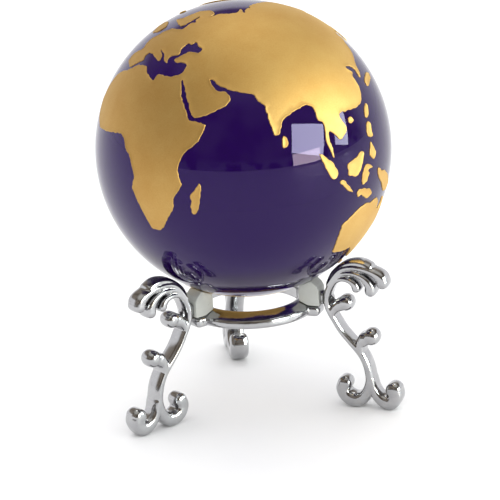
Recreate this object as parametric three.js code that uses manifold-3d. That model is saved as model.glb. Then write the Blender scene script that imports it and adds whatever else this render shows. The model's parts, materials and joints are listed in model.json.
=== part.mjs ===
// Terrestrial globe ornament: a solid glass ball with gilt lands, resting on three clear
// sleeves over the bearers of a chromed stand. The stand is a cast ring and three identical
// scroll legs, each held to the ring by one screw from below.
// Millimetres, +Z up. The origin is on the stand's axis, on the table.

import * as THREE from 'three';
import { mergeVertices } from 'three/addons/utils/BufferGeometryUtils.js';
import Module from 'manifold-3d';

const wasm = await Module();
wasm.setup();

// ---- Driving dimensions -------------------------------------------------------------------

const BALL_RADIUS = 40;
const BALL_HEIGHT = 71.4;        // ball centre above the table
const BALL_DETAIL = 7;           // subdivisions of the icosahedron
const GILT_UNDER = 0.1;          // underside of the gilding above the glass
const GILT_TOP = 0.3;            // top of the gilding above the glass
const SEAT_CLEAR = 0.45;         // from the glass to a sleeve, so that the gilding passes

const POLE_TILT = 14.5;          // degrees, the map's north pole leans off the vertical
const POLE_TOWARDS = 41.8;       // degrees from +X to the side that the pole leans to
const MERIDIAN_TURN = 152.5;     // degrees, the map's turn about its own poles

const LEG_TURNS = { back: 90, left: 210, right: 330 };
const LEG_WIDTH = 5.4;           // across the straps and curls of a leg
const EDGE = 0.4;                // bevel along the edges of the casting
const GAP = 0.3;                 // between pieces that meet

const RING = { bore: 13.4, rim: 18.2, top: 29.7, under: 25.8, segments: 48 };
const LUG = { from: 16.4, to: 20.85, under: 25.5, top: 28.4, width: 5.5 };
const ARM = { tip: 16.2, root: 22.2, under: 28.7, top: 32.6, width: 3 };
const SLEEVE = { inner: 15, outer: 20.8, width: 5.2 };
const SCREW = { at: 18.4, shank: 1, head: 1.6, headHeight: 1.05, length: 4.4, slot: 0.5 };

// ---- Materials ----------------------------------------------------------------------------

const metal = (color, roughness) => new THREE.MeshStandardMaterial({ color, roughness, metalness: 1 });
const glossy = (color, roughness) => new THREE.MeshStandardMaterial({ color, roughness, metalness: 0 });
const purpleGlass = () => glossy(0x321e5f, 0.03);
const clearSilicone = () => glossy(0xc0c2bd, 0.3);
const gilding = () => metal(0xc9a24f, 0.45);
const chrome = () => metal(0xb4b4b9, 0.08);
const steel = () => metal(0x9a9a9c, 0.3);

// ---- Solids -------------------------------------------------------------------------------

function toSolid(geometry) {
  const bare = geometry.clone();
  bare.deleteAttribute('normal');
  bare.deleteAttribute('uv');
  const merged = mergeVertices(bare, 1e-4);
  const corners = merged.index.array;
  const triVerts = [];
  for (let i = 0; i < corners.length; i += 3) {
    const [a, b, c] = corners.slice(i, i + 3);
    if (a !== b && b !== c && c !== a) triVerts.push(a, b, c);
  }
  return new wasm.Manifold(new wasm.Mesh({
    numProp: 3,
    vertProperties: new Float32Array(merged.attributes.position.array),
    triVerts: new Uint32Array(triVerts),
  }));
}

function toGeometry(solid) {
  const mesh = solid.getMesh();
  const geometry = new THREE.BufferGeometry();
  geometry.setAttribute('position', new THREE.BufferAttribute(mesh.vertProperties.slice(), 3));
  geometry.setIndex(new THREE.BufferAttribute(mesh.triVerts.slice(), 1));
  geometry.computeVertexNormals();
  return geometry;
}

const join = (geometries) => geometries.map(toSolid).reduce((whole, piece) => whole.add(piece));

function part(name, geometry, material) {
  const mesh = new THREE.Mesh(geometry, material);
  mesh.name = name;
  return mesh;
}

function block(x0, x1, width, z0, z1) {
  return new THREE.BoxGeometry(x1 - x0, width, z1 - z0).translate((x0 + x1) / 2, 0, (z0 + z1) / 2);
}

function post(radius, x, z0, z1) {
  return new THREE.CylinderGeometry(radius, radius, z1 - z0, 12)
    .rotateX(Math.PI / 2)
    .translate(x, 0, (z0 + z1) / 2);
}

// A plate that stands on edge: an outline in the XZ plane, with its thickness along Y.
function plate(outline, width, edge) {
  const extruded = new THREE.ExtrudeGeometry(new THREE.Shape(outline), {
    depth: width - 2 * edge,
    bevelEnabled: edge > 0,
    bevelThickness: edge,
    bevelSize: edge,
    bevelOffset: -edge,
    bevelSegments: 1,
  });
  return extruded.rotateX(Math.PI / 2).translate(0, width / 2 - edge, 0);
}

// ---- The globe ----------------------------------------------------------------------------

const glassBall = () => new THREE.IcosahedronGeometry(BALL_RADIUS, BALL_DETAIL);

function grownBall(by) {
  const scale = (BALL_RADIUS + by) / BALL_RADIUS;
  return toSolid(glassBall().scale(scale, scale, scale));
}

const giltShell = grownBall(GILT_TOP).subtract(grownBall(GILT_UNDER));

// The unit direction of a place on the map.
function direction([longitude, latitude]) {
  const lon = THREE.MathUtils.degToRad(longitude);
  const lat = THREE.MathUtils.degToRad(latitude);
  return new THREE.Vector3(Math.cos(lat) * Math.cos(lon), Math.cos(lat) * Math.sin(lon), Math.sin(lat));
}

// A pyramid from the ball's centre out through a coastline, to a flat base beyond the ball.
function pyramid(coast) {
  const rays = coast.map(direction);
  const middle = rays.reduce((sum, ray) => sum.add(ray), new THREE.Vector3()).normalize();
  const across = new THREE.Vector3(0, 0, 1).cross(middle).normalize();
  const up = middle.clone().cross(across);
  const base = rays.map((ray) => ray.clone().multiplyScalar(1.5 * BALL_RADIUS / ray.dot(middle)));
  const flat = base.map((corner) => new THREE.Vector2(corner.dot(across), corner.dot(up)));
  if (THREE.ShapeUtils.isClockWise(flat)) {
    flat.reverse();
    base.reverse();
  }
  const corners = [];
  for (const [a, b, c] of THREE.ShapeUtils.triangulateShape(flat, [])) {
    corners.push(base[a], base[b], base[c]);
  }
  base.forEach((corner, i) => corners.push(new THREE.Vector3(), base[(i + 1) % base.length], corner));
  return new THREE.BufferGeometry().setFromPoints(corners);
}

const land = (coast) => toGeometry(giltShell.intersect(toSolid(pyramid(coast))));

// The coastlines as [longitude, latitude] in degrees, on a simplified map.
const LANDS = {
  africa_europe_asia: [
    // Africa from the western strait down the Atlantic coast to the Cape
    [1, 27], [-3, 26.5], [-9, 24], [-13, 19], [-15, 13], [-12, 7], [-7, 3], [1, 2.5], [13, 3], [15, 1.5],
    [17, -3], [19, -4], [21, -9], [22, -12], [20, -16], [22, -21], [25, -27], [27, -32], [31, -32.5],
    // up the eastern coast, round the Horn and up the Red Sea
    [34, -30.5], [37, -26], [40, -22], [40, -18], [43, -14], [44, -12], [42, -8], [42, -4], [44, 0],
    [49, 5], [51, 11.3], [46, 11.8], [43.5, 12], [42, 15], [38, 21], [36, 27],
    // Arabia and the Persian Gulf
    [38, 25], [41, 20], [44.5, 13.7], [46, 13], [51, 15], [57, 19], [59, 22], [56, 24.5], [53, 24],
    [50, 26], [48, 28.5], [49, 28.8], [53, 26.3], [57, 25.3], [60, 25],
    // India and the Bay of Bengal
    [67.5, 24.5], [69.5, 22], [71.5, 21.5], [73, 18], [75.5, 12], [76.5, 10], [78.5, 10.5], [79, 15.5],
    [81, 18], [84, 20], [87.5, 22], [89.5, 23], [91.5, 22], [93, 20], [93.5, 17],
    // Malaya, Indochina and China
    [96, 17], [97, 13], [97, 10], [98.5, 7.5], [101.5, 3.5], [101, 6.5], [98.7, 10.5], [98.5, 13.5],
    [101, 13], [103.5, 10.5], [105, 11], [107.5, 14], [107, 16], [104, 19], [104, 20.5], [106, 21],
    [112.5, 22.5], [118, 24.5], [120.5, 28.5], [121, 32], [118.5, 36], [121, 37.5], [116.5, 39],
    [117, 40], [120, 40.5], [123.5, 39.5], [125.5, 35], [127, 36.5], [127.5, 41], [132, 45],
    // the Sea of Okhotsk, Kamchatka and the Bering Strait
    [135, 48], [136, 51], [141, 54], [138, 56], [150, 60], [156, 61], [156, 52], [162, 57], [167, 61],
    [178, 64], [188, 66],
    // the Arctic coast and the White Sea
    [180, 70], [165, 72], [150, 75], [135, 78], [120, 81], [100, 82.5], [80, 81.5], [66, 79], [59, 77],
    [52, 72], [57, 70], [51, 70], [53, 65], [46, 69], [47, 65], [41, 63], [32, 62], [32, 60.5],
    [28, 59], [29, 62], [21, 64],
    // Scandinavia and the Baltic
    [11, 62], [8, 59], [6, 56], [0, 54], [8, 52], [14, 51], [16, 52], [17, 55], [18, 57], [20, 58.5],
    [20, 55.5], [23, 54.3], [19, 53.7], [19, 51], [18, 49],
    // western Europe
    [9, 49], [5, 47], [2, 44], [-1, 42], [-1, 39], [1, 37], [-4, 35], [-6, 33], [-5, 30], [1, 28.2],
    // the northern shore of the Mediterranean, the Adriatic and the Aegean
    [6, 31], [9, 32.3], [7.5, 34], [9, 36], [13, 35.3], [18, 33], [20, 33], [20, 35], [15.5, 38],
    [20.5, 36.3], [22, 33.5], [25, 32.3], [24, 35], [25, 36],
    // the Black Sea, the Levant and the northern shore of Africa
    [29, 37], [28, 40], [30, 43], [32, 42], [34, 44], [36, 42], [40, 41], [39, 39], [33, 39], [31, 37],
    [28, 35], [28, 34], [30, 33.3], [33, 34], [36, 33], [35, 29], [30, 27.3], [23, 27.5], [22, 24.5],
    [15, 28], [14, 30], [7, 30],
  ],
  great_britain: [[-9, 45], [-13, 48], [-12, 52], [-6, 52], [0, 49], [-2, 46]],
  iceland: [[-24, 60], [-16, 61], [-14, 59.5], [-19, 58], [-23, 58.5]],
  madagascar: [[50.5, -10], [51.5, -11.5], [51.2, -18], [50.5, -21.5], [49, -23.3], [48, -22], [47.5, -19.5],
    [48, -17.5], [47, -15.5], [48, -14.3], [49.5, -12.5]],
  sri_lanka: [[79.3, 9.5], [80, 10.7], [81.6, 9.5], [82.2, 7.5], [81.5, 5.8], [80, 5.8]],
  sumatra: [[94.3, 5.3], [96, 4.8], [100.5, 2.5], [103.7, -0.5], [104.5, -2.5], [103.5, -4.2], [101.5, -4],
    [98, 0], [95, 4]],
  java: [[105.5, -4.7], [106.8, -3.8], [110.5, -6], [114, -8.8], [111, -8.2], [108.5, -7], [106, -5.5]],
  borneo: [[115, 7], [117.2, 6.5], [117, 4], [115.8, -0.5], [114.5, -2.7], [109.5, -2.5], [108, 2], [110, 3],
    [112, 4], [113.5, 5]],
  celebes: [[119, 2.2], [122.5, 1.7], [124.2, 1], [121, 0.3], [120.2, -0.3], [122.2, -1.2], [121, -3],
    [121.5, -4.7], [120, -4.5], [119.7, -5.7], [118.3, -6], [117.5, -3.5], [117.5, -0.5]],
  lesser_sunda: [[116, -8.7], [117.2, -7.3], [124.5, -7.2], [127, -9], [124.5, -11.2], [121, -10.5],
    [119.3, -9.5], [118, -10.7], [117, -10.3]],
  new_guinea: [[128.3, 0.7], [130.3, 0.6], [132, -0.8], [135, -0.3], [141.5, -2.5], [146.5, -5.5],
    [144, -8.5], [139.5, -9], [135, -6], [132, -4], [129, -2]],
  luzon: [[121.5, 18.2], [122.8, 17], [122.6, 14.5], [123.8, 12.5], [120, 11.8], [119, 15], [120, 17.7]],
  mindanao: [[121.3, 10.7], [122.6, 9.5], [125.3, 7], [125.7, 5.5], [124, 3.8], [120.8, 5.3], [121, 7]],
  formosa: [[122, 25.3], [123.2, 24], [122.6, 21], [121, 19.2], [119.3, 19.2], [119.5, 22.5]],
  hainan: [[108.2, 18.3], [110, 19.7], [112.2, 18.3], [110.5, 16.8], [109, 17]],
  japan: [[136, 37.8], [140, 37.3], [138.3, 35.3], [132.5, 32.8], [129, 31.3], [128.3, 33.2], [129, 35]],
  australia: [[118.5, -35], [115.5, -28], [114, -22], [118, -18], [121, -15], [125, -13], [129, -13],
    [133, -11], [136, -12], [138, -16], [141, -16], [142, -10.5], [145, -15], [147, -19], [153, -25],
    [153, -31], [150, -37], [146, -39], [140, -38], [137, -35], [133, -33], [125, -35]],
  tasmania: [[145, -41], [148.5, -41], [147.5, -43.7], [146, -43.5]],
  new_zealand_north: [[173, -35], [176, -37], [178.5, -38], [175.5, -41.4], [174, -39]],
  new_zealand_south: [[173, -41], [174.3, -42], [170.5, -46], [167, -46], [170, -43]],
  americas: [
    // Alaska, the Canadian coast and Hudson Bay
    [-168, 66], [-156, 71], [-141, 69.5], [-128, 70.5], [-115, 68.5], [-96, 68], [-94, 72], [-85, 69.5],
    [-81, 68], [-87, 64], [-94, 61], [-94, 58], [-88, 56.5], [-82, 55], [-80, 51.5], [-77, 57], [-78, 62],
    [-73, 62], [-69, 59], [-65, 60], [-62, 57], [-56, 53], [-57, 51], [-66, 50], [-61, 46], [-66, 44],
    // the Atlantic coast, Florida, the Gulf of Mexico and Central America
    [-70, 43.5], [-74, 40.5], [-76, 36], [-81, 31.5], [-80, 26], [-83, 29], [-90, 29.5], [-97, 28],
    [-97.5, 22], [-95, 18.5], [-92, 18.5], [-90.5, 21], [-87, 21.5], [-88.5, 16], [-83.5, 15], [-83, 11],
    [-80, 9],
    // South America
    [-75.5, 10.5], [-72, 12], [-62, 10.5], [-57, 6.5], [-51, 4.5], [-50, 0], [-44, -2.5], [-35, -6],
    [-38, -13], [-40, -20], [-48, -26], [-54, -34], [-57, -38], [-62, -39], [-65, -43], [-69, -51],
    [-66, -55], [-71, -54], [-75, -50], [-73.5, -37], [-70.5, -19], [-76, -14], [-81, -5.5], [-80, -1],
    [-77.5, 3], [-78, 7.5],
    // the Pacific coast, California and the southern coast of Alaska
    [-82, 8], [-88, 13], [-94, 16], [-100, 17], [-105.5, 20.5], [-109, 25.5], [-113, 31], [-110, 23.5],
    [-115, 30], [-121, 35], [-124, 40], [-124, 48], [-132, 56], [-139, 59.5], [-148, 60.5], [-158, 56.5],
    [-164, 54.5], [-158, 58.5], [-166, 62], [-161, 64.5],
  ],
  antarctica: [[0, -71.5], [-20, -73.5], [-35, -77], [-50, -78], [-64, -75], [-61, -72], [-58, -66],
    [-65, -66], [-75, -72], [-90, -73], [-110, -73.5], [-135, -74], [-155, -77], [-175, -77], [170, -71],
    [163, -66.5], [148, -65], [137, -66.5], [127, -70.5], [115, -74.5], [100, -76.5], [85, -77.3],
    [70, -78], [50, -78.5], [30, -78.5], [14, -76], [4, -73]],
  greenland: [[-45, 60], [-40, 65], [-26, 69], [-20, 74], [-20, 80], [-35, 83], [-58, 81], [-70, 78],
    [-60, 76], [-54, 71], [-53, 66]],
  baffin_island: [[-80, 73.5], [-70, 70.8], [-62, 66.8], [-65, 62.5], [-72, 65], [-73, 68], [-79, 70],
    [-84, 72.5]],
  cuba: [[-84, 22], [-80, 23.2], [-75, 20.8], [-77.5, 20], [-82, 22]],
};

function globe() {
  const group = new THREE.Group();
  group.add(part('glass_ball', glassBall(), purpleGlass()));
  for (const [name, coast] of Object.entries(LANDS)) {
    group.add(part(`gilt_${name}`, land(coast), gilding()));
  }
  const turn = (degrees) => THREE.MathUtils.degToRad(degrees);
  group.rotation.set(0, turn(POLE_TILT), turn(POLE_TOWARDS), 'ZYX');
  group.rotateZ(turn(MERIDIAN_TURN));
  group.position.z = BALL_HEIGHT;
  return group;
}

// ---- The ring -----------------------------------------------------------------------------

function ring() {
  const { bore, rim, top, under } = RING;
  const profile = [
    [bore, under + 0.3], [bore + 0.3, under], [rim - 0.6, under], [rim, under + 0.7], [rim - 0.2, top - 2],
    [rim - 1.2, top - 1.05], [rim - 2.6, top - 0.3], [bore + 0.4, top], [bore, top - 0.35],
  ].map(([radius, height]) => new THREE.Vector2(radius, height));
  const band = new THREE.LatheGeometry([...profile, profile[0]], RING.segments).rotateX(Math.PI / 2);
  let whole = toSolid(band);
  for (const degrees of Object.values(LEG_TURNS)) {
    const angle = THREE.MathUtils.degToRad(degrees);
    whole = whole.add(toSolid(block(LUG.from, LUG.to, LUG.width, LUG.under, LUG.top).rotateZ(angle)));
  }
  for (const degrees of Object.values(LEG_TURNS)) {
    const angle = THREE.MathUtils.degToRad(degrees);
    const shankHole = post(SCREW.shank + GAP, SCREW.at, LUG.under - 1, LUG.top + 1).rotateZ(angle);
    const headHole = post(SCREW.head + GAP, SCREW.at, LUG.under - 1, screwSeat() + GAP).rotateZ(angle);
    whole = whole.subtract(toSolid(shankHole)).subtract(toSolid(headHole));
  }
  return toGeometry(whole);
}

// Height of the upper face of a screw's head.
function screwSeat() {
  return LUG.under + 0.1 + SCREW.headHeight;
}

// ---- A leg, in its own plane: X away from the stand's axis, Z up, Y across ----------------

// A ribbon along a path of [x, z, half thickness], with round ends.
function ribbon(path, width, edge = EDGE) {
  const curve = new THREE.CatmullRomCurve3(path.map(([x, z, half]) => new THREE.Vector3(x, z, half)));
  const steps = path.length - 1;
  const left = [];
  const right = [];
  for (let i = 0; i <= steps; i += 1) {
    const middle = curve.getPoint(i / steps);
    const along = curve.getTangent(i / steps).setZ(0).normalize();
    const side = new THREE.Vector2(-along.y, along.x).multiplyScalar(middle.z);
    left.push(new THREE.Vector2(middle.x, middle.y).add(side));
    right.push(new THREE.Vector2(middle.x, middle.y).sub(side));
  }
  const outline = [...right, ...roundEnd(right.at(-1), left.at(-1)), ...left.reverse(),
    ...roundEnd(left.at(-1), right[0])];
  return plate(outline, width, edge);
}

// The corners between two points of a half circle that bulges to the right of the way from a to b.
function roundEnd(a, b) {
  const middle = a.clone().add(b).divideScalar(2);
  return [0.25, 0.5, 0.75].map((share) => a.clone().rotateAround(middle, share * Math.PI));
}

// A round end of a scroll, a short barrel across the leg.
function knob(x, z, radius, width) {
  const half = width / 2;
  const profile = [
    [0, -half], [radius * 0.72, -half], [radius, -half * 0.62],
    [radius, half * 0.62], [radius * 0.72, half], [0, half],
  ].map(([r, y]) => new THREE.Vector2(r, y));
  return new THREE.LatheGeometry(profile, 10).translate(x, 0, z);
}

// The stem runs from the inner foot curl up the inside of the leg to the hook under the plume.
const STEM = [
  [27, 6.5, 2.1], [26.45, 5, 2], [27.2, 3.2, 2], [28.9, 2.1, 2.2], [30.7, 2, 2.2], [32.6, 3.2, 1.75],
  [33.8, 5.4, 1.5], [34.4, 8, 1.35], [34.2, 10.4, 1.25], [33.6, 12.8, 1.2], [32.4, 15.3, 1.15],
  [30.9, 17.2, 1.1], [29.3, 18.9, 1], [26.8, 21.8, 0.95], [25, 24.7, 0.95], [23.4, 27.7, 1], [22.8, 30.4, 1],
  [23.2, 32.6, 1.1], [24.1, 34.6, 1.1], [25.5, 36.2, 0.95], [27.4, 36.9, 0.85], [29.4, 36.6, 0.95],
  [30.8, 35.6, 1.2], [31.3, 34.5, 1.4],
];
const OUTER_FOOT = [[34.8, 8.4, 1.1], [35.4, 5.4, 1.4], [36.9, 3.1, 1.7], [38.8, 2, 2.15], [40.2, 2.1, 2.2],
  [41.5, 4, 1.9], [41, 5.5, 2.3]];
const MIDDLE_CURL = [[32.1, 16.4, 1], [32, 18.3, 1.4], [33.1, 19.8, 2]];
const MIDDLE_KNOB = { x: 34.9, z: 20.5, radius: 2.4 };
const SMALL_CURL = [[24.2, 26.4, 0.9], [25.1, 28.2, 1.4], [26.6, 29.3, 1.95]];
const SMALL_KNOB = { x: 28, z: 29.8, radius: 2.3 };
const FRONDS = [
  { path: [[23.6, 35.4, 0.9], [25, 38.2, 0.85], [27.9, 40.7, 0.8], [30.8, 41.6, 0.8], [33.1, 41.3, 1.05],
    [34.7, 40.3, 1.4]], width: 4.8 },
  { path: [[23.6, 35, 0.9], [26.6, 39, 0.8], [29.8, 40.3, 0.8], [33.2, 40.1, 0.9], [36.1, 39.2, 1.2],
    [38.1, 37.8, 1.6], [38.6, 36.4, 1.7]], width: LEG_WIDTH },
  { path: [[23.8, 34.9, 0.9], [26.5, 37.9, 0.8], [29.3, 38.7, 0.8], [32, 38.3, 0.9], [34, 37, 1.2],
    [35.1, 35.3, 1.5], [35.2, 33.9, 1.6]], width: LEG_WIDTH },
];

function legSolid() {
  const strokes = [
    ...[STEM, OUTER_FOOT, MIDDLE_CURL, SMALL_CURL].map((path) => ribbon(path, LEG_WIDTH)),
    ...FRONDS.map((frond) => ribbon(frond.path, frond.width)),
  ];
  const knobs = [MIDDLE_KNOB, SMALL_KNOB].map(({ x, z, radius }) => knob(x, z, radius, LEG_WIDTH));
  const casting = join([...strokes, ...knobs, plate(armOutline(0), ARM.width, 0)]);
  const screwHole = post(SCREW.shank + GAP, SCREW.at, ARM.under - 1, screwSeat() + SCREW.length + GAP);
  const table = new THREE.BoxGeometry(60, 20, 4).translate(30, 0, -2);
  return casting.subtract(toSolid(screwHole)).subtract(toSolid(table));
}

// The bearer arm over the ring, which the sleeve covers. Its underside follows the ring's slope.
function armOutline(grown) {
  const tip = ARM.tip - grown;
  const under = ARM.under - grown;
  const top = ARM.top + grown;
  return [
    [tip, RING.top + 0.4 - grown], [18, under], [ARM.root, under], [ARM.root, top], [tip + 0.8, top],
    [tip, top - 0.8],
  ].map(([x, z]) => new THREE.Vector2(x, z));
}

// ---- A sleeve, in the leg's plane ---------------------------------------------------------

function sleeve() {
  const { inner, outer, width } = SLEEVE;
  const seat = BALL_RADIUS + SEAT_CLEAR;
  const seatHeight = (x) => BALL_HEIGHT - Math.sqrt(seat ** 2 - x ** 2);
  const outline = [
    [inner, RING.top + 0.3], [17.6, ARM.under], [outer, ARM.under], [outer, 33.2], [20.2, 34.4],
    [18.6, seatHeight(18.6)], [17.4, seatHeight(17.4)], [16.2, seatHeight(16.2)],
    [inner + 0.3, seatHeight(inner + 0.3)], [inner, 33.2],
  ].map(([x, z]) => new THREE.Vector2(x, z));
  const [, , ...roof] = armOutline(GAP);
  const below = [ARM.tip - GAP, ARM.root].map((x) => new THREE.Vector2(x, LUG.under));
  const pocket = plate([...roof, ...below], ARM.width + 2 * GAP, 0);
  return toGeometry(toSolid(plate(outline, width, 0.5)).subtract(toSolid(pocket)));
}

// ---- A screw, in the leg's plane ----------------------------------------------------------

function screw() {
  const top = screwSeat();
  const head = post(SCREW.head, SCREW.at, top - SCREW.headHeight, top);
  const shank = post(SCREW.shank, SCREW.at, top - 0.1, top + SCREW.length);
  const slots = [[2.2, SCREW.slot], [SCREW.slot, 2.2]].map(([x, y]) => {
    const cut = new THREE.BoxGeometry(x, y, 1.2);
    return toSolid(cut.translate(SCREW.at, 0, top - SCREW.headHeight));
  });
  return toGeometry(slots.reduce((left, slot) => left.subtract(slot), join([head, shank])));
}

// ---- The whole object ---------------------------------------------------------------------

const object = new THREE.Group();
object.add(globe());
object.add(part('ring', ring(), chrome()));
const legGeometry = toGeometry(legSolid());
for (const [side, degrees] of Object.entries(LEG_TURNS)) {
  const leg = new THREE.Group();
  leg.rotation.z = THREE.MathUtils.degToRad(degrees);
  leg.add(part(`leg_${side}`, legGeometry, chrome()));
  leg.add(part(`sleeve_${side}`, sleeve(), clearSilicone()));
  leg.add(part(`screw_${side}`, screw(), steel()));
  object.add(leg);
}

export default object;
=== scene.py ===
import json
import math

import bmesh
import bpy
import numpy as np
from mathutils import Matrix, Vector, kdtree, noise
from mathutils.geometry import delaunay_2d_cdt


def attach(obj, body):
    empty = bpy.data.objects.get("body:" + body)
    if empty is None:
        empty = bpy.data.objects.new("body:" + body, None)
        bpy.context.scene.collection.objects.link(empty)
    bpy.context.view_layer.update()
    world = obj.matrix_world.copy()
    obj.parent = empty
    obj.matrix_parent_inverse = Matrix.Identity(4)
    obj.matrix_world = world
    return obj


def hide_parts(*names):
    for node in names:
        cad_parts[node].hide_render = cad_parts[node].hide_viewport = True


# The looks of a terrestrial globe ornament: a purple glass ball with gilt lands on three clear
# sleeves, over a chromed stand of a cast ring and three scroll legs. Shapes are worked out in
# millimetres in the frame's axes, and turned into metres when a piece is made.

MM = 0.001
SIDES = ("back", "left", "right")

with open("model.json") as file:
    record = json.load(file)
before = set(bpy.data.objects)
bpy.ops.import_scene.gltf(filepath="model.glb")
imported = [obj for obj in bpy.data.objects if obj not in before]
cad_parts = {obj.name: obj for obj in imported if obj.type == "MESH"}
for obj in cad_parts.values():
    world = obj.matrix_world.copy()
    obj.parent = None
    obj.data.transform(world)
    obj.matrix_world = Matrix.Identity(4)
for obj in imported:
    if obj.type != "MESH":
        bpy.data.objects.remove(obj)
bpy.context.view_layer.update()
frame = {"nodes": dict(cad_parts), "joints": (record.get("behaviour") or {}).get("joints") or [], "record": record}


# ---- What the frame says --------------------------------------------------------------------

def vertices_of(node):
    """A CAD node's corners in millimetres."""
    mesh = frame["nodes"][node].data
    rows = np.empty(len(mesh.vertices) * 3, np.float32)
    mesh.vertices.foreach_get("co", rows)
    return rows.reshape(-1, 3).astype(float) / MM


def turn_of(side):
    """The angle of a leg's plane about the stand's axis, from the mount under its foot."""
    foot = next(m for m in frame["record"]["mounts"] if m["name"] == f"foot_{side}")
    return math.atan2(foot["pos_m"][1], foot["pos_m"][0])


BALL_CENTRE = np.array(frame["joints"][0]["pos_m"]) / MM
BALL_RADIUS = np.linalg.norm(vertices_of("glass_ball") - BALL_CENTRE, axis=1).max()
LEG_TURNS = {side: turn_of(side) for side in SIDES}
LANDS = sorted(name for name in frame["nodes"] if name.startswith("gilt_"))


# ---- Camera ---------------------------------------------------------------------------------

CAMERA_AZIMUTH = math.radians(-98.43)     # from the stand's axis towards the camera
CAMERA_HEIGHT = math.radians(15.72)       # above the ball's centre
CAMERA_DISTANCE = 640                     # from the ball's centre
LOOKS_BELOW = math.radians(2.461)         # the view's centre is this far below the ball's centre
LOOKS_ASIDE = math.radians(0.042)         # and this far to the right of it
ROLL = math.radians(-2.738)               # anticlockwise, as seen from behind the camera
SENSOR_MM = 36
LENS_MM = 170.7
NEAREST, FARTHEST = 0.01, 20              # what the camera sees, in metres from it

TOWARDS_CAMERA = Vector((
    math.cos(CAMERA_AZIMUTH) * math.cos(CAMERA_HEIGHT),
    math.sin(CAMERA_AZIMUTH) * math.cos(CAMERA_HEIGHT),
    math.sin(CAMERA_HEIGHT),
))


def make_camera():
    """The camera, first aimed at the ball's centre and then turned aside, down and about its axis."""
    forward = -TOWARDS_CAMERA
    right = forward.cross(Vector((0, 0, 1))).normalized()
    up = right.cross(forward)
    aside = Matrix.Rotation(-LOOKS_ASIDE, 3, up)
    forward, right = aside @ forward, aside @ right
    nod = Matrix.Rotation(-LOOKS_BELOW, 3, right)
    forward, up = nod @ forward, nod @ up
    tilt = Matrix.Rotation(-ROLL, 3, forward)
    right, up = tilt @ right, tilt @ up
    camera = bpy.data.objects.new("camera", bpy.data.cameras.new("camera"))
    camera.data.sensor_width = SENSOR_MM
    camera.data.lens = LENS_MM
    camera.data.clip_start = NEAREST
    camera.data.clip_end = FARTHEST
    place = Vector(BALL_CENTRE) + TOWARDS_CAMERA * CAMERA_DISTANCE
    camera.matrix_world = Matrix.Translation(place * MM) @ Matrix((right, up, -forward)).transposed().to_4x4()
    bpy.context.scene.collection.objects.link(camera)
    bpy.context.scene.camera = camera


# ---- Node trees -----------------------------------------------------------------------------

class Shader:
    """A material's node tree, with short calls for the nodes that the finishes share."""

    def __init__(self, name):
        self.material = bpy.data.materials.new(name)
        self.material.use_nodes = True
        self.tree = self.material.node_tree
        self.tree.nodes.clear()
        self.out = self.tree.nodes.new("ShaderNodeOutputMaterial")
        self.surface = self.tree.nodes.new("ShaderNodeBsdfPrincipled")
        self.link(self.surface.outputs[0], self.out.inputs["Surface"])
        self.place = self.tree.nodes.new("ShaderNodeTexCoord").outputs["Object"]

    def link(self, a, b):
        self.tree.links.new(a, b)

    def set(self, **values):
        """Constant values on the surface's own sockets."""
        for name, value in values.items():
            self.surface.inputs[name.replace("_", " ")].default_value = value

    def noise(self, grain_mm, detail=3, rough=0.5):
        """Noise whose features are about grain_mm wide."""
        node = self.tree.nodes.new("ShaderNodeTexNoise")
        node.inputs["Scale"].default_value = 1 / (grain_mm * MM)
        node.inputs["Detail"].default_value = detail
        node.inputs["Roughness"].default_value = rough
        self.link(self.place, node.inputs["Vector"])
        return node.outputs["Fac"]

    def spread(self, value, low, high, to_low, to_high):
        """A value from low to high, mapped to run from to_low to to_high."""
        node = self.tree.nodes.new("ShaderNodeMapRange")
        for name, number in (("From Min", low), ("From Max", high), ("To Min", to_low), ("To Max", to_high)):
            node.inputs[name].default_value = number
        self.link(value, node.inputs["Value"])
        return node.outputs["Result"]

    def ramp(self, value, *stops):
        """A colour that changes with a value, from stops of (value, colour)."""
        node = self.tree.nodes.new("ShaderNodeValToRGB")
        marks = node.color_ramp.elements
        while len(marks) < len(stops):
            marks.new(0.5)
        for mark, (place, colour) in zip(marks, stops):
            mark.position = place
            mark.color = (*colour, 1)
        self.link(value, node.inputs["Fac"])
        return node.outputs["Color"]

    def bump(self, height, depth_mm, strength, under=None):
        """Relief from a height, over the relief of another bump where there is one."""
        node = self.tree.nodes.new("ShaderNodeBump")
        node.inputs["Strength"].default_value = strength
        node.inputs["Distance"].default_value = depth_mm * MM
        self.link(height, node.inputs["Height"])
        if under is not None:
            self.link(under, node.inputs["Normal"])
        return node.outputs["Normal"]

    def feed(self, name, value):
        """A varying value into one of the surface's sockets."""
        self.link(value, self.surface.inputs[name])


def purple_glass():
    s = Shader("purple_glass")
    s.set(Base_Color=(0.036, 0.007, 0.125, 1), Transmission_Weight=0.75, IOR=1.45)
    s.set(Specular_Tint=(0.6, 0.52, 0.77, 1))
    s.feed("Roughness", s.spread(s.noise(9), 0.4, 0.75, 0.0, 0.02))
    s.feed("Normal", s.bump(s.noise(30, 1), 0.02, 0.2))
    inside = s.tree.nodes.new("ShaderNodeVolumeAbsorption")
    inside.inputs["Color"].default_value = (0.42, 0.2, 0.62, 1)
    inside.inputs["Density"].default_value = 40
    s.link(inside.outputs[0], s.out.inputs["Volume"])
    return s.material


def gilding():
    s = Shader("gilding")
    s.set(Metallic=1.0)
    frost = s.noise(0.35, 2, 0.6)
    cloud = s.noise(12, 4, 0.6)
    s.feed("Base Color", s.ramp(cloud, (0.3, (0.55, 0.335, 0.103)), (0.7, (0.6, 0.395, 0.137))))
    s.feed("Roughness", s.spread(frost, 0.3, 0.75, 0.56, 0.7))
    s.feed("Normal", s.bump(frost, 0.045, 0.6))
    return s.material


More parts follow.
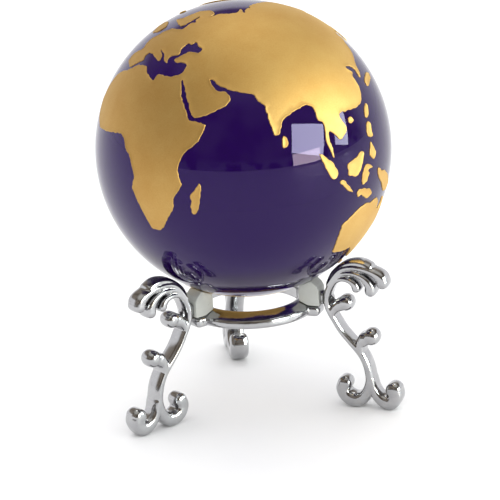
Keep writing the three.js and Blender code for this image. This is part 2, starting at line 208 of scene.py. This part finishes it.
def chrome():
    s = Shader("chrome")
    s.set(Metallic=1.0)
    wear = s.noise(3.5, 5, 0.65)
    s.feed("Base Color", s.ramp(wear, (0.3, (0.4, 0.4, 0.41)), (0.7, (0.47, 0.47, 0.48))))
    s.feed("Roughness", s.spread(wear, 0.35, 0.8, 0.12, 0.21))
    s.feed("Normal", s.bump(s.noise(1.6, 2), 0.05, 0.3, s.bump(s.noise(0.25, 2), 0.004, 0.3)))
    return s.material


def clear_silicone():
    s = Shader("clear_silicone")
    s.set(Transmission_Weight=0.06, IOR=1.41)
    haze = s.noise(2.4)
    s.feed("Base Color", s.ramp(haze, (0.3, (0.52, 0.535, 0.5)), (0.75, (0.57, 0.585, 0.545))))
    s.feed("Roughness", s.spread(haze, 0.3, 0.7, 0.26, 0.4))
    s.feed("Normal", s.bump(s.noise(0.5), 0.02, 0.5))
    return s.material


def screw_steel():
    s = Shader("screw_steel")
    s.set(Metallic=1.0)
    turned = s.noise(0.4, 4)
    s.feed("Base Color", s.ramp(turned, (0.3, (0.34, 0.34, 0.35)), (0.7, (0.5, 0.5, 0.5))))
    s.feed("Roughness", s.spread(turned, 0.3, 0.7, 0.24, 0.42))
    s.feed("Normal", s.bump(turned, 0.01, 0.5))
    return s.material


# ---- Shells and pieces ----------------------------------------------------------------------

def mesh_from(name, shells):
    """One mesh of several closed shells, each (corners in mm, faces)."""
    corners, faces = [], []
    for points, sides in shells:
        first = sum(len(rows) for rows in corners)
        corners.append(np.asarray(points, float))
        faces.extend([[first + i for i in side] for side in sides])
    mesh = bpy.data.meshes.new(name)
    mesh.from_pydata((np.vstack(corners) * MM).tolist(), [], faces)
    mesh.validate()
    return mesh


def put(name, mesh, material, body, slot, *nodes):
    """Shows a mesh as a piece that rides on a body and stands for CAD nodes."""
    mesh.materials.clear()
    mesh.materials.append(material)
    mesh.shade_smooth()
    piece = bpy.data.objects.new(name, mesh)
    bpy.context.scene.collection.objects.link(piece)
    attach(piece, body)
    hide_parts(*nodes)
    return piece


def with_modifiers(mesh, *modifiers):
    """The mesh as it is after modifiers, each (kind, settings)."""
    worker = bpy.data.objects.new("worker", mesh)
    bpy.context.scene.collection.objects.link(worker)
    for kind, settings in modifiers:
        modifier = worker.modifiers.new(kind.lower(), kind)
        for key, value in settings.items():
            setattr(modifier, key, value)
    bpy.context.view_layer.update()
    done = bpy.data.meshes.new_from_object(worker.evaluated_get(bpy.context.evaluated_depsgraph_get()))
    bpy.data.objects.remove(worker)
    return done


def cast(name, shells, voxel_mm, smoothings):
    """Shells melted into one casting with soft inner corners."""
    return with_modifiers(
        mesh_from(name, shells),
        ("REMESH", {"mode": "VOXEL", "voxel_size": voxel_mm * MM}),
        ("SMOOTH", {"factor": 0.5, "iterations": smoothings}),
    )


def cut(mesh, shells):
    """The mesh with shells taken out of it."""
    tool = bpy.data.objects.new("tool", mesh_from("tool", shells))
    bpy.context.scene.collection.objects.link(tool)
    settings = {"operation": "DIFFERENCE", "solver": "MANIFOLD", "object": tool}
    done = with_modifiers(mesh, ("BOOLEAN", settings))
    bpy.data.objects.remove(tool)
    return done


def turned(mesh, angle):
    """A copy of a mesh, turned about the stand's axis."""
    copy = mesh.copy()
    copy.transform(Matrix.Rotation(angle, 4, "Z"))
    return copy


def smooth_curve(points, per_span):
    """A Catmull-Rom curve through rows of numbers."""
    rows = np.asarray(points, float)
    rows = np.vstack([2 * rows[0] - rows[1], rows, 2 * rows[-1] - rows[-2]])
    t = np.linspace(0, 1, per_span, endpoint=False)[:, None]
    spans = []
    for a, b, c, d in zip(rows, rows[1:], rows[2:], rows[3:]):
        spans.append(b + 0.5 * t * (c - a + t * (2 * a - 5 * b + 4 * c - d + t * (3 * b - a - 3 * c + d))))
    return np.vstack([*spans, rows[-2]])


def signed_power(values, power):
    return np.sign(values) * np.abs(values) ** power


def tube_faces(rings, around):
    """Quads between rings of corners, with an end cap on the first and the last."""
    faces = []
    for r in range(rings - 1):
        for k in range(around):
            a, b = r * around + k, r * around + (k + 1) % around
            faces.append((a, b, b + around, a + around))
    last = (rings - 1) * around
    return [tuple(reversed(range(around))), *faces, tuple(range(last, last + around))]


AROUND = 32               # corners around a bar or a knob
RINGS_PER_SPAN = 8        # between two points of a bar's path
END_RINGS = 6             # in a bar's round end
KNOB_RINGS = 15
CAP_AT = 0.985            # share of a quarter turn at which a round end is closed
END_NARROWING = 0.45      # power by which a bar's width shrinks over its round end
KNOB_SQUARENESS = 2.6


def stroke(path, width, squareness=3.0):
    """A bar in the leg's plane along [out, up, half thickness] rows, rounded across and at its ends."""
    rows = smooth_curve(path, RINGS_PER_SPAN)
    along = np.gradient(rows[:, :2], axis=0)
    along /= np.linalg.norm(along, axis=1)[:, None]
    steps = np.linspace(0, math.pi / 2, END_RINGS + 1)[1:] * CAP_AT
    sections = [(rows[i, :2], along[i], rows[i, 2], 1.0) for i in range(len(rows))]
    for end, way in ((0, -1), (-1, 1)):
        half = rows[end, 2]
        caps = [(rows[end, :2] + way * along[end] * half * math.sin(a), along[end], half * math.cos(a),
                 math.cos(a) ** END_NARROWING) for a in steps]
        sections = caps[::-1] + sections if end == 0 else sections + caps
    angles = np.linspace(0, 2 * math.pi, AROUND, endpoint=False)
    u = signed_power(np.cos(angles), 2 / squareness)
    v = signed_power(np.sin(angles), 2 / squareness) * width / 2
    corners = []
    for (x, z), (dx, dz), half, narrow in sections:
        corners.append(np.column_stack([x - dz * half * u, v * narrow, z + dx * half * u]))
    return np.vstack(corners), tube_faces(len(sections), AROUND)


def knob(x, z, radius, width):
    """A rounded barrel across the leg, the swollen end of a scroll."""
    steps = np.linspace(-CAP_AT, CAP_AT, KNOB_RINGS) * math.pi / 2
    angles = np.linspace(0, 2 * math.pi, AROUND, endpoint=False)
    corners = []
    for a in steps:
        r = radius * math.cos(a) ** (2 / KNOB_SQUARENESS)
        y = width / 2 * signed_power(np.sin(a), 2 / KNOB_SQUARENESS)
        corners.append(np.column_stack([x + r * np.sin(angles), np.full(AROUND, y), z + r * np.cos(angles)]))
    return np.vstack(corners), tube_faces(len(steps), AROUND)


def prism(outline, width):
    """A plate on edge in the leg's plane, from an outline of [out, up]."""
    corners = [(x, y, z) for y in (-width / 2, width / 2) for x, z in outline]
    return np.array(corners), tube_faces(2, len(outline))


def lathe(profile, around, axis=(0, 0)):
    """A closed band or a solid of turning about a vertical axis, from [radius, height]."""
    angles = np.linspace(0, 2 * math.pi, around, endpoint=False)
    rows = [np.column_stack([axis[0] + r * np.cos(angles), axis[1] + r * np.sin(angles), np.full(around, z)])
            for r, z in profile]
    return np.vstack(rows), tube_faces(len(profile), around)


# ---- The legs -------------------------------------------------------------------------------

LEG_WIDTH = 5.4               # across the straps
TOP_FROND_WIDTH = 4.8
BEARER_WIDTH = 3
KNOB_WIDTH = LEG_WIDTH + 0.2
LEG_VOXEL = 0.22
LEG_SMOOTHINGS = 3

# The straps' middle lines as [out, up, half thickness], from the stand's axis and the table.
STEM = [
    [27, 6.5, 2.1], [26.45, 5, 2], [27.2, 3.2, 2], [28.9, 2.1, 2.15], [30.7, 2, 2.1], [32.6, 3.2, 1.75],
    [33.8, 5.4, 1.5], [34.4, 8, 1.35], [34.2, 10.4, 1.25], [33.6, 12.8, 1.2], [32.4, 15.3, 1.15],
    [30.9, 17.2, 1.1], [29.3, 18.9, 1], [26.8, 21.8, 0.95], [25, 24.7, 0.95], [23.4, 27.7, 1],
    [22.8, 30.4, 1],
    [23.2, 32.6, 1.1], [24.1, 34.6, 1.1], [25.5, 36.2, 0.95], [27.4, 36.9, 0.85], [29.4, 36.6, 0.95],
    [30.8, 35.6, 1.2], [31.3, 34.5, 1.4],
]
OUTER_FOOT = [[34.8, 8.4, 1.1], [35.4, 5.4, 1.4], [36.9, 3.1, 1.7], [38.8, 2, 2.05], [40.2, 2.1, 2.1],
              [41.5, 4, 1.95], [41, 5.5, 2.4]]
MIDDLE_CURL = [[32.1, 16.4, 1], [32, 18.3, 1.4], [33.1, 19.8, 2]]
SMALL_CURL = [[24.2, 26.4, 0.9], [25.1, 28.2, 1.4], [26.6, 29.3, 1.95]]
TOP_FROND = [[23.6, 35.4, 0.9], [25, 38.2, 0.85], [27.9, 40.7, 0.8], [30.8, 41.6, 0.8], [33.1, 41.3, 1.05],
             [34.7, 40.3, 1.4]]
FAR_FROND = [[23.6, 35, 0.9], [26.6, 39, 0.8], [29.8, 40.3, 0.8], [33.2, 40.1, 0.9], [36.1, 39.2, 1.2],
             [38.1, 37.8, 1.65], [38.6, 36.4, 1.8]]
NEAR_FROND = [[23.8, 34.9, 0.9], [26.5, 37.9, 0.8], [29.3, 38.7, 0.8], [32, 38.3, 0.9], [34, 37, 1.2],
              [35.1, 35.3, 1.55], [35.2, 33.9, 1.7]]
BEARER = [[17.6, 30.8, 1.7], [20, 30.7, 1.9], [22.6, 30.6, 1.9]]
# The knobs at the ends of the two short curls, as [out, up, radius].
KNOBS = [[34.9, 20.5, 2.4], [28, 29.8, 2.3]]


def leg_shells():
    straps = [STEM, OUTER_FOOT, MIDDLE_CURL, SMALL_CURL, FAR_FROND, NEAR_FROND]
    shells = [stroke(path, LEG_WIDTH) for path in straps]
    shells += [stroke(TOP_FROND, TOP_FROND_WIDTH), stroke(BEARER, BEARER_WIDTH)]
    return shells + [knob(x, z, radius, KNOB_WIDTH) for x, z, radius in KNOBS]


def make_legs(material):
    """Three castings from one shape, with the foot curls ground flat on the table."""
    mesh = cast("leg", leg_shells(), LEG_VOXEL, LEG_SMOOTHINGS)
    for corner in mesh.vertices:
        corner.co.z = max(corner.co.z, 0)
    for side, angle in LEG_TURNS.items():
        put(f"scroll_leg_{side}", turned(mesh, angle), material, "stand", "chrome", f"leg_{side}")


# ---- The ring -------------------------------------------------------------------------------

RING_BORE, RING_RIM = 13.4, 18.2
RING_UNDER, RING_TOP = 25.8, 29.7
RING_VOXEL = 0.22
RING_SMOOTHINGS = 5
RING_PROFILE = [
    [RING_BORE, RING_UNDER + 0.5], [RING_BORE + 0.2, RING_UNDER + 0.12], [RING_BORE + 0.6, RING_UNDER],
    [RING_RIM - 0.9, RING_UNDER], [RING_RIM - 0.2, RING_UNDER + 0.25], [RING_RIM, RING_UNDER + 0.9],
    [RING_RIM - 0.15, RING_TOP - 1.9], [RING_RIM - 0.5, RING_TOP - 1.35], [RING_RIM - 1.2, RING_TOP - 0.85],
    [RING_RIM - 2.2, RING_TOP - 0.35], [RING_RIM - 3.2, RING_TOP - 0.06], [RING_BORE + 0.45, RING_TOP],
    [RING_BORE + 0.1, RING_TOP - 0.15], [RING_BORE, RING_TOP - 0.5],
]
LUG = {"from": 15.4, "to": 20.85, "under": 25.5, "top": 28.4, "width": 5.5, "squareness": 5}
SCREW_AT = 18.4                       # from the stand's axis
SCREW_SEAT = LUG["under"] + 1.15      # height of the upper face of a screw's head
SCREW_HEAD, SCREW_SHANK = 1.6, 1.0    # radii
SCREW_CLEAR = 0.25                    # around a head in its lug


def band(profile, around):
    """A closed ring: the profile runs round and meets itself."""
    corners, faces = lathe(profile, around)
    last = (len(profile) - 1) * around
    seam = [(last + k, last + (k + 1) % around, (k + 1) % around, k) for k in range(around)]
    return corners, faces[1:-1] + seam


def swung(shell, angle):
    """A shell turned about the vertical axis."""
    corners, faces = shell
    c, s = math.cos(angle), math.sin(angle)
    return corners @ np.array([[c, s, 0], [-s, c, 0], [0, 0, 1]]), faces


def screw_place(angle):
    return SCREW_AT * math.cos(angle), SCREW_AT * math.sin(angle)


def make_ring(material):
    """The ring and its three lugs in one casting, with a pocket in each lug for a screw's head."""
    middle = (LUG["under"] + LUG["top"]) / 2
    half = (LUG["top"] - LUG["under"]) / 2
    bar = [[LUG["from"] + half, middle, half], [RING_RIM, middle, half], [LUG["to"] - half, middle, half]]
    lug = stroke(bar, LUG["width"], LUG["squareness"])
    lugs = [swung(lug, angle) for angle in LEG_TURNS.values()]
    mesh = cast("ring", [band(RING_PROFILE, 180), *lugs], RING_VOXEL, RING_SMOOTHINGS)
    wall = SCREW_HEAD + SCREW_CLEAR
    pocket = [[wall, LUG["under"] - 1], [wall, SCREW_SEAT + 0.1]]
    pockets = [lathe(pocket, 40, screw_place(angle)) for angle in LEG_TURNS.values()]
    put("bearing_ring", cut(mesh, pockets), material, "stand", "chrome", "ring")


# ---- The screws -----------------------------------------------------------------------------

SCREW_HEAD_HEIGHT = 1.05
SCREW_LENGTH = 4.4            # of the shank
CROSS_WIDTH = 0.42            # of each slot of the cross
CROSS_DEPTH = 0.55
CROSS_REACH = 1.05            # of a slot from the screw's axis, below the head
CROSS_REACH_INSIDE = 0.75     # and at the slot's floor
SCREW_SHARP = math.radians(35)


def make_screws(material):
    under = SCREW_SEAT - SCREW_HEAD_HEIGHT
    profile = [[0.9, under], [1.35, under + 0.08], [1.56, under + 0.3], [SCREW_HEAD, under + 0.6],
               [SCREW_HEAD, SCREW_SEAT], [SCREW_SHANK, SCREW_SEAT + 0.02],
               [SCREW_SHANK, SCREW_SEAT + SCREW_LENGTH - 0.4], [SCREW_SHANK - 0.3, SCREW_SEAT + SCREW_LENGTH]]
    floor = under + CROSS_DEPTH
    blade = prism([[-CROSS_REACH, under - 1], [CROSS_REACH, under - 1], [CROSS_REACH_INSIDE, floor],
                   [-CROSS_REACH_INSIDE, floor]], CROSS_WIDTH)
    for side, angle in LEG_TURNS.items():
        at = screw_place(angle)
        mesh = mesh_from("screw", [lathe(profile, 48, at)])
        for turn in (0, math.pi / 2):
            corners, faces = swung(blade, angle + turn)
            mesh = cut(mesh, [(corners + np.array([*at, 0]), faces)])
        piece = put(f"cross_screw_{side}", mesh, material, "stand", "screw_steel", f"screw_{side}")
        piece.data.set_sharp_from_angle(angle=SCREW_SHARP)


# ---- The sleeves ----------------------------------------------------------------------------

SLEEVE = {"inner": 15.0, "outer": 20.8, "under": 28.7, "width": 5.2, "seat_to": 18.6}
SEAT_CLEAR = 0.12             # between the glass and a sleeve
ARM_TOP = 32.5                # the bearer arm's pocket ends here
ARM_POCKET_WIDTH = 3.2
SLEEVE_VOXEL = 0.16
SLEEVE_SMOOTHINGS = 7


def make_sleeves(material):
    """Blocks with a seat that follows the ball, open below and towards the leg for the bearer arm."""
    inner, outer, under = SLEEVE["inner"], SLEEVE["outer"], SLEEVE["under"]
    reach = BALL_RADIUS + SEAT_CLEAR
    across = np.linspace(SLEEVE["seat_to"], inner + 0.2, 7)
    seat = [[x, BALL_CENTRE[2] - math.sqrt(reach ** 2 - x ** 2)] for x in across]
    outline = [[inner, RING_TOP + 0.2], [17.6, under], [outer, under], [outer, 33.2], [20.2, 34.4], *seat,
               [inner, 33]]
    pocket = [[16.2, under - 2], [outer + 2, under - 2], [outer + 2, ARM_TOP], [16.4, ARM_TOP], [15.9, 31.9]]
    mesh = cast("sleeve", [prism(outline, SLEEVE["width"])], SLEEVE_VOXEL, SLEEVE_SMOOTHINGS)
    mesh = cut(mesh, [prism(pocket, ARM_POCKET_WIDTH)])
    for side, angle in LEG_TURNS.items():
        piece = turned(mesh, angle)
        put(f"clear_sleeve_{side}", piece, material, "stand", "clear_silicone", f"sleeve_{side}")


# ---- The glass ball -------------------------------------------------------------------------

BALL_SUBDIVISIONS = 7
WAVE_WIDTH = 30               # of the slow waves that a polished ball keeps
WAVE_HEIGHT = 0.004


def make_ball(material):
    shape = bmesh.new()
    bmesh.ops.create_icosphere(shape, subdivisions=BALL_SUBDIVISIONS, radius=BALL_RADIUS)
    for corner in shape.verts:
        figure = noise.noise(corner.co / WAVE_WIDTH) * WAVE_HEIGHT
        corner.co = (corner.co * (1 + figure / BALL_RADIUS) + Vector(BALL_CENTRE)) * MM
    mesh = bpy.data.meshes.new("ball")
    shape.to_mesh(mesh)
    shape.free()
    put("purple_ball", mesh, material, "ball", "purple_glass", "glass_ball")


# ---- The gilt lands -------------------------------------------------------------------------

SKIN_MERGE = 2e-6                            # metres, between corners that are one corner
COAST_STEP = 0.32                            # between corners along a coast
EASINGS = 4                                  # of a coast's corners
WIDE_BAYS, WIDE_BAY_GRAIN = 0.24, 38         # depth of bays and capes, and how many there are
SMALL_BAYS, SMALL_BAY_GRAIN = 0.1, 90
SMALL_BAY_SHIFT = 7                          # so that small bays don't follow the wide ones
RIM_ROWS = [0.09, 0.18, 0.3, 0.46]           # rows of corners inland of the coast
RIM_INLAND = [0, *RIM_ROWS]
RIM_HEIGHTS = [0.1, 0.22, 0.26, 0.22, 0.17]  # of the gilding, at the coast and at each row
RIM_TOLERANCE = 0.93                         # share of a row's distance that every coast keeps
INLAND_STEP = 1.3                            # between corners on the open land
INLAND_CLEAR = 0.35                          # from the last row to the open land's corners
ROW_HEIGHT = 0.866                           # of an equal triangle, as a share of its side
UNDERSIDE = 0.015                            # from the glass
WORN_THIN = {"gilt_antarctica": 0.25}        # share of the height that the sleeves leave of a land
LAND_SHARP = math.radians(50)


def coast_of(node):
    """A land's coastline: the edge of the outer skin of its CAD node, as unit directions."""
    shape = bmesh.new()
    shape.from_mesh(frame["nodes"][node].data)
    bmesh.ops.remove_doubles(shape, verts=shape.verts, dist=SKIN_MERGE)
    place = {v: (np.array(v.co) / MM - BALL_CENTRE) for v in shape.verts}
    reach = {v: np.linalg.norm(p) for v, p in place.items()}
    between_skins = (min(reach.values()) + max(reach.values())) / 2
    outer = {v for v in shape.verts if reach[v] > between_skins}
    skin = {f for f in shape.faces if all(v in outer for v in f.verts)}
    follows = {}
    for face in skin:
        for loop in face.loops:
            if not any(other in skin for other in loop.edge.link_faces if other is not face):
                follows[loop.vert] = loop.link_loop_next.vert
    start = min(follows, key=lambda corner: tuple(corner.co))
    chain, at = [start], follows[start]
    while at is not start:
        chain.append(at)
        at = follows[at]
    coast = np.array([place[v] for v in chain])
    shape.free()
    return coast / np.linalg.norm(coast, axis=1)[:, None]


def evenly(loop, step):
    """A closed loop of directions, resampled along its length on the ball."""
    closed = np.vstack([loop, loop[:1]])
    lengths = np.linalg.norm(np.diff(closed, axis=0), axis=1) * BALL_RADIUS
    at = np.concatenate([[0], np.cumsum(lengths)])
    count = max(24, round(at[-1] / step))
    stops = np.linspace(0, at[-1], count, endpoint=False)
    rows = np.column_stack([np.interp(stops, at, closed[:, k]) for k in range(3)])
    return rows / np.linalg.norm(rows, axis=1)[:, None]


def worn(loop):
    """A coastline with its corners eased and small bays and capes added."""
    for _ in range(EASINGS):
        loop = 0.5 * loop + 0.25 * (np.roll(loop, 1, 0) + np.roll(loop, -1, 0))
    along = np.roll(loop, -1, 0) - np.roll(loop, 1, 0)
    aside = np.cross(loop, along / np.linalg.norm(along, axis=1)[:, None])
    wide = np.array([noise.noise(Vector(p * WIDE_BAY_GRAIN)) for p in loop])
    small = np.array([noise.noise(Vector(p * SMALL_BAY_GRAIN + SMALL_BAY_SHIFT)) for p in loop])
    bays = WIDE_BAYS * wide + SMALL_BAYS * small
    loop = loop + aside * (bays / BALL_RADIUS)[:, None]
    return loop / np.linalg.norm(loop, axis=1)[:, None]


class FlatMap:
    """An equal-area map of the ball about the middle of a coastline."""

    def __init__(self, coast):
        self.middle = coast.mean(0) / np.linalg.norm(coast.mean(0))
        self.right = np.cross([0, 0.1, 1], self.middle)
        self.right /= np.linalg.norm(self.right)
        self.up = np.cross(self.middle, self.right)

    def flatten(self, rows):
        """Directions to places on the map."""
        k = np.sqrt(2 / (1 + rows @ self.middle))[:, None]
        return BALL_RADIUS * k * np.column_stack([rows @ self.right, rows @ self.up])

    def lift(self, flat):
        """Places on the map to directions."""
        x, y = (flat / BALL_RADIUS).T
        sink = (x ** 2 + y ** 2) / 4
        k = np.sqrt(1 - sink)
        return np.outer(k * x, self.right) + np.outer(k * y, self.up) + np.outer(1 - 2 * sink, self.middle)


def inside(outline, points):
    """Which points lie inside a closed outline, all on the flat map."""
    x, y = points.T
    hit = np.zeros(len(points), bool)
    for (x0, y0), (x1, y1) in zip(outline, np.roll(outline, -1, 0)):
        if y0 != y1:
            crosses = (y0 > y) != (y1 > y)
            hit ^= crosses & (x < x0 + (y - y0) * (x1 - x0) / (y1 - y0))
    return hit


def from_coast(coast, rows):
    """How far each direction lies from a coastline, in mm on the ball."""
    tree = kdtree.KDTree(len(coast))
    for i, p in enumerate(coast):
        tree.insert(p, i)
    tree.balance()
    nearest = np.array([tree.find(Vector(p))[1] for p in rows])
    best = np.full(len(rows), 1e9)
    for step in (-1, 0):
        a = coast[(nearest + step) % len(coast)]
        b = coast[(nearest + step + 1) % len(coast)]
        t = np.clip(((rows - a) * (b - a)).sum(1) / ((b - a) ** 2).sum(1), 0, 1)[:, None]
        best = np.minimum(best, np.linalg.norm(rows - a - t * (b - a), axis=1))
    return best * BALL_RADIUS


def rim_points(coast, outline, flat_map):
    """Corners in rows along a coast, on its land side."""
    along = np.roll(coast, -1, 0) - np.roll(coast, 1, 0)
    inland = np.cross(coast, along / np.linalg.norm(along, axis=1)[:, None])
    rows = []
    for distance in RIM_ROWS:
        near = coast + inland * (distance / BALL_RADIUS)
        near /= np.linalg.norm(near, axis=1)[:, None]
        keep = from_coast(coast, near) > RIM_TOLERANCE * distance
        rows.append(near[keep])
    rows = np.vstack(rows)
    return rows[inside(outline, flat_map.flatten(rows))]


def inland_points(coast, outline, flat_map):
    """Corners on the open land, in a grid of equal triangles."""
    low, high = outline.min(0), outline.max(0)
    spots = []
    for j, y in enumerate(np.arange(low[1], high[1], INLAND_STEP * ROW_HEIGHT)):
        for x in np.arange(low[0] + (j % 2) * INLAND_STEP / 2, high[0], INLAND_STEP):
            spots.append((x, y))
    spots = np.array(spots)
    spots = spots[inside(outline, spots)]
    rows = flat_map.lift(spots)
    return rows[from_coast(coast, rows) > RIM_ROWS[-1] + INLAND_CLEAR] if len(rows) else rows


def make_land(node, material):
    """A plate of gilding with a raised rim, between a top skin, a lower skin and a wall at the coast."""
    coast = worn(evenly(coast_of(node), COAST_STEP))
    flat_map = FlatMap(coast)
    outline = flat_map.flatten(coast)
    x, y = outline[:, 0], outline[:, 1]
    area = 0.5 * np.sum(x * np.roll(y, -1) - np.roll(x, -1) * y)
    if area < 0:
        coast, outline = coast[::-1], outline[::-1]
    rows = np.vstack([coast, rim_points(coast, outline, flat_map), inland_points(coast, outline, flat_map)])
    flat = flat_map.flatten(rows)
    count = len(coast)
    edges = [(i, (i + 1) % count) for i in range(count)]
    spots, _, faces, _, _, _ = delaunay_2d_cdt([Vector(p) for p in flat], edges, [], 1, 1e-5)
    rows = flat_map.lift(np.array([tuple(p) for p in spots]))
    height = np.interp(from_coast(coast, rows), RIM_INLAND, RIM_HEIGHTS) * WORN_THIN.get(node, 1)
    top = BALL_CENTRE + rows * (BALL_RADIUS + height)[:, None]
    under = BALL_CENTRE + rows * (BALL_RADIUS + UNDERSIDE)
    n = len(rows)
    faces = [tuple(face) for face in faces]
    sides = [side for face in faces for side in zip(face, face[1:] + face[:1])]
    taken = set(sides)
    walls = [(a, a + n, b + n, b) for a, b in sides if (b, a) not in taken]
    lower = [tuple(i + n for i in reversed(face)) for face in faces]
    mesh = mesh_from(node, [(np.vstack([top, under]), faces + lower + walls)])
    name = node.replace("gilt_", "gilt_land_")
    piece = put(name, mesh, material, "ball", "gilding", node)
    piece.data.set_sharp_from_angle(angle=LAND_SHARP)


# ---- The stage ------------------------------------------------------------------------------

FLOOR_RADIUS = 3                      # metres
BACKDROP = (1, 1, 1)                  # what the camera sees behind the floor
WHITE_ROOM = (1.45, 1.45, 1.45)       # the light on everything that isn't a mirror
WALL_SHADE, WALL_LIGHT = (0.09, 0.066, 0.045), (0.36, 0.31, 0.26)
SHELF_SHADE, SHELF_LIGHT = (0.05, 0.045, 0.04), (0.5, 0.5, 0.5)
CEILING = (0.72, 0.71, 0.66)
PAPER = (1.15, 1.15, 1.17)            # a white sheet behind the object
BELOW = (0.3, 0.28, 0.26)             # what mirrors show below the horizon
SKY = (0.88, 0.98, 0.96)
SUNLIT = (1, 0.92, 0.72)
WINDOW_SLANT = -18                    # degrees

# Lamps around the ball, in degrees from the camera's side and above the ball's centre, and metres.
CEILING_LAMP = {"azimuth": 180, "height": 62, "distance": 1.3, "size": (0.8, 0.5), "watts": 3}
WINDOWS = {
    "window": {"azimuth": 52, "height": 14, "distance": 1.2, "size": (0.56, 0.44), "watts": 14,
               "colour": SKY, "roll": WINDOW_SLANT},
    "window_beyond": {"azimuth": 84, "height": 15, "distance": 1.3, "size": (0.3, 0.62), "watts": 9,
                      "colour": SKY, "roll": WINDOW_SLANT},
    "rooftops": {"azimuth": 48, "height": 2.5, "distance": 1.25, "size": (0.5, 0.18), "watts": 4,
                 "colour": SUNLIT},
}


def make_floor():
    shape = bmesh.new()
    bmesh.ops.create_circle(shape, cap_ends=True, segments=128, radius=FLOOR_RADIUS)
    mesh = bpy.data.meshes.new("floor")
    shape.to_mesh(mesh)
    shape.free()
    s = Shader("floor_card")
    paper = s.noise(40)
    s.feed("Base Color", s.ramp(paper, (0.3, (0.84, 0.84, 0.85)), (0.7, (0.87, 0.87, 0.87))))
    s.set(Roughness=0.6, Specular_IOR_Level=0.25)
    mesh.materials.append(s.material)
    floor = bpy.data.objects.new("floor", mesh)
    bpy.context.scene.collection.objects.link(floor)


def aimed(azimuth, height, distance, roll=0):
    """A place around the ball's centre, given from the camera's side, and a turn that faces it."""
    a = CAMERA_AZIMUTH + math.radians(azimuth)
    e = math.radians(height)
    away = Vector((math.cos(a) * math.cos(e), math.sin(a) * math.cos(e), math.sin(e)))
    place = Vector(BALL_CENTRE) * MM + away * distance
    facing = away.to_track_quat("Z", "Y").to_matrix().to_4x4()
    return Matrix.Translation(place) @ facing @ Matrix.Rotation(math.radians(roll), 4, "Z")


def make_lamp(name, azimuth, height, distance, size, watts, colour=(1, 1, 1), roll=0):
    data = bpy.data.lights.new(name, "AREA")
    data.shape = "RECTANGLE"
    data.size, data.size_y = size
    data.energy = watts
    data.color = colour
    lamp = bpy.data.objects.new(name, data)
    lamp.matrix_world = aimed(azimuth, height, distance, roll)
    bpy.context.scene.collection.objects.link(lamp)
    return lamp


def make_world():
    """A room with a pale ceiling and dim brown walls in reflections, and even white light otherwise."""
    world = bpy.data.worlds.new("room")
    world.use_nodes = True
    tree = world.node_tree
    tree.nodes.clear()
    link = tree.links.new

    def node(kind, **settings):
        made = tree.nodes.new(kind)
        for key, value in settings.items():
            setattr(made, key, value)
        return made

    def ease(value, low, high):
        """0 below low, 1 above high, with a soft change between them."""
        made = node("ShaderNodeMapRange", interpolation_type="SMOOTHSTEP")
        made.inputs["From Min"].default_value = low
        made.inputs["From Max"].default_value = high
        link(value, made.inputs["Value"])
        return made.outputs["Result"]

    def blend(share, a, b):
        made = node("ShaderNodeMix", data_type="RGBA")
        link(share, made.inputs[0])
        for socket, value in ((made.inputs[6], a), (made.inputs[7], b)):
            if isinstance(value, tuple):
                socket.default_value = (*value, 1)
            else:
                link(value, socket)
        return made.outputs[2]

    def clutter(scale, detail, low, high):
        """Soft patches over the room."""
        made = node("ShaderNodeTexNoise")
        made.inputs["Scale"].default_value = scale
        made.inputs["Detail"].default_value = detail
        link(way, made.inputs["Vector"])
        return ease(made.outputs["Fac"], low, high)

    way = node("ShaderNodeTexCoord").outputs["Generated"]
    apart = node("ShaderNodeSeparateXYZ")
    link(way, apart.inputs[0])
    behind, up = apart.outputs["Y"], apart.outputs["Z"]
    walls = blend(clutter(2.1, 2, 0.4, 0.62), WALL_SHADE, WALL_LIGHT)
    shelves = blend(clutter(6, 3, 0.45, 0.55), SHELF_SHADE, SHELF_LIGHT)
    room = blend(ease(up, 0.04, 0.14), shelves, walls)
    room = blend(ease(up, 0.66, 0.9), room, CEILING)
    sheet = blend(ease(up, 0.38, 0.52), PAPER, room)
    room = blend(ease(behind, -0.05, 0.25), room, sheet)
    mirrored = blend(ease(up, -0.12, -0.02), BELOW, room)
    rays = node("ShaderNodeLightPath")
    lit = blend(rays.outputs["Is Glossy Ray"], WHITE_ROOM, mirrored)
    seen = blend(rays.outputs["Is Camera Ray"], lit, BACKDROP)
    light = node("ShaderNodeBackground")
    link(seen, light.inputs["Color"])
    link(light.outputs[0], node("ShaderNodeOutputWorld").inputs["Surface"])
    bpy.context.scene.world = world


def make_stage():
    """A pale floor in a made-up room, with windows that are seen only in reflections."""
    bpy.context.scene.view_settings.view_transform = "Standard"
    make_world()
    make_floor()
    make_lamp("ceiling", **CEILING_LAMP)
    for name, settings in WINDOWS.items():
        window = make_lamp(name, **settings)
        window.visible_diffuse = False
        window.visible_transmission = False


# ---- Everything -----------------------------------------------------------------------------

make_camera()
make_stage()
bright = chrome()
make_legs(bright)
make_ring(bright)
make_screws(screw_steel())
make_sleeves(clear_silicone())
make_ball(purple_glass())
gold = gilding()
for land in LANDS:
    make_land(land, gold)
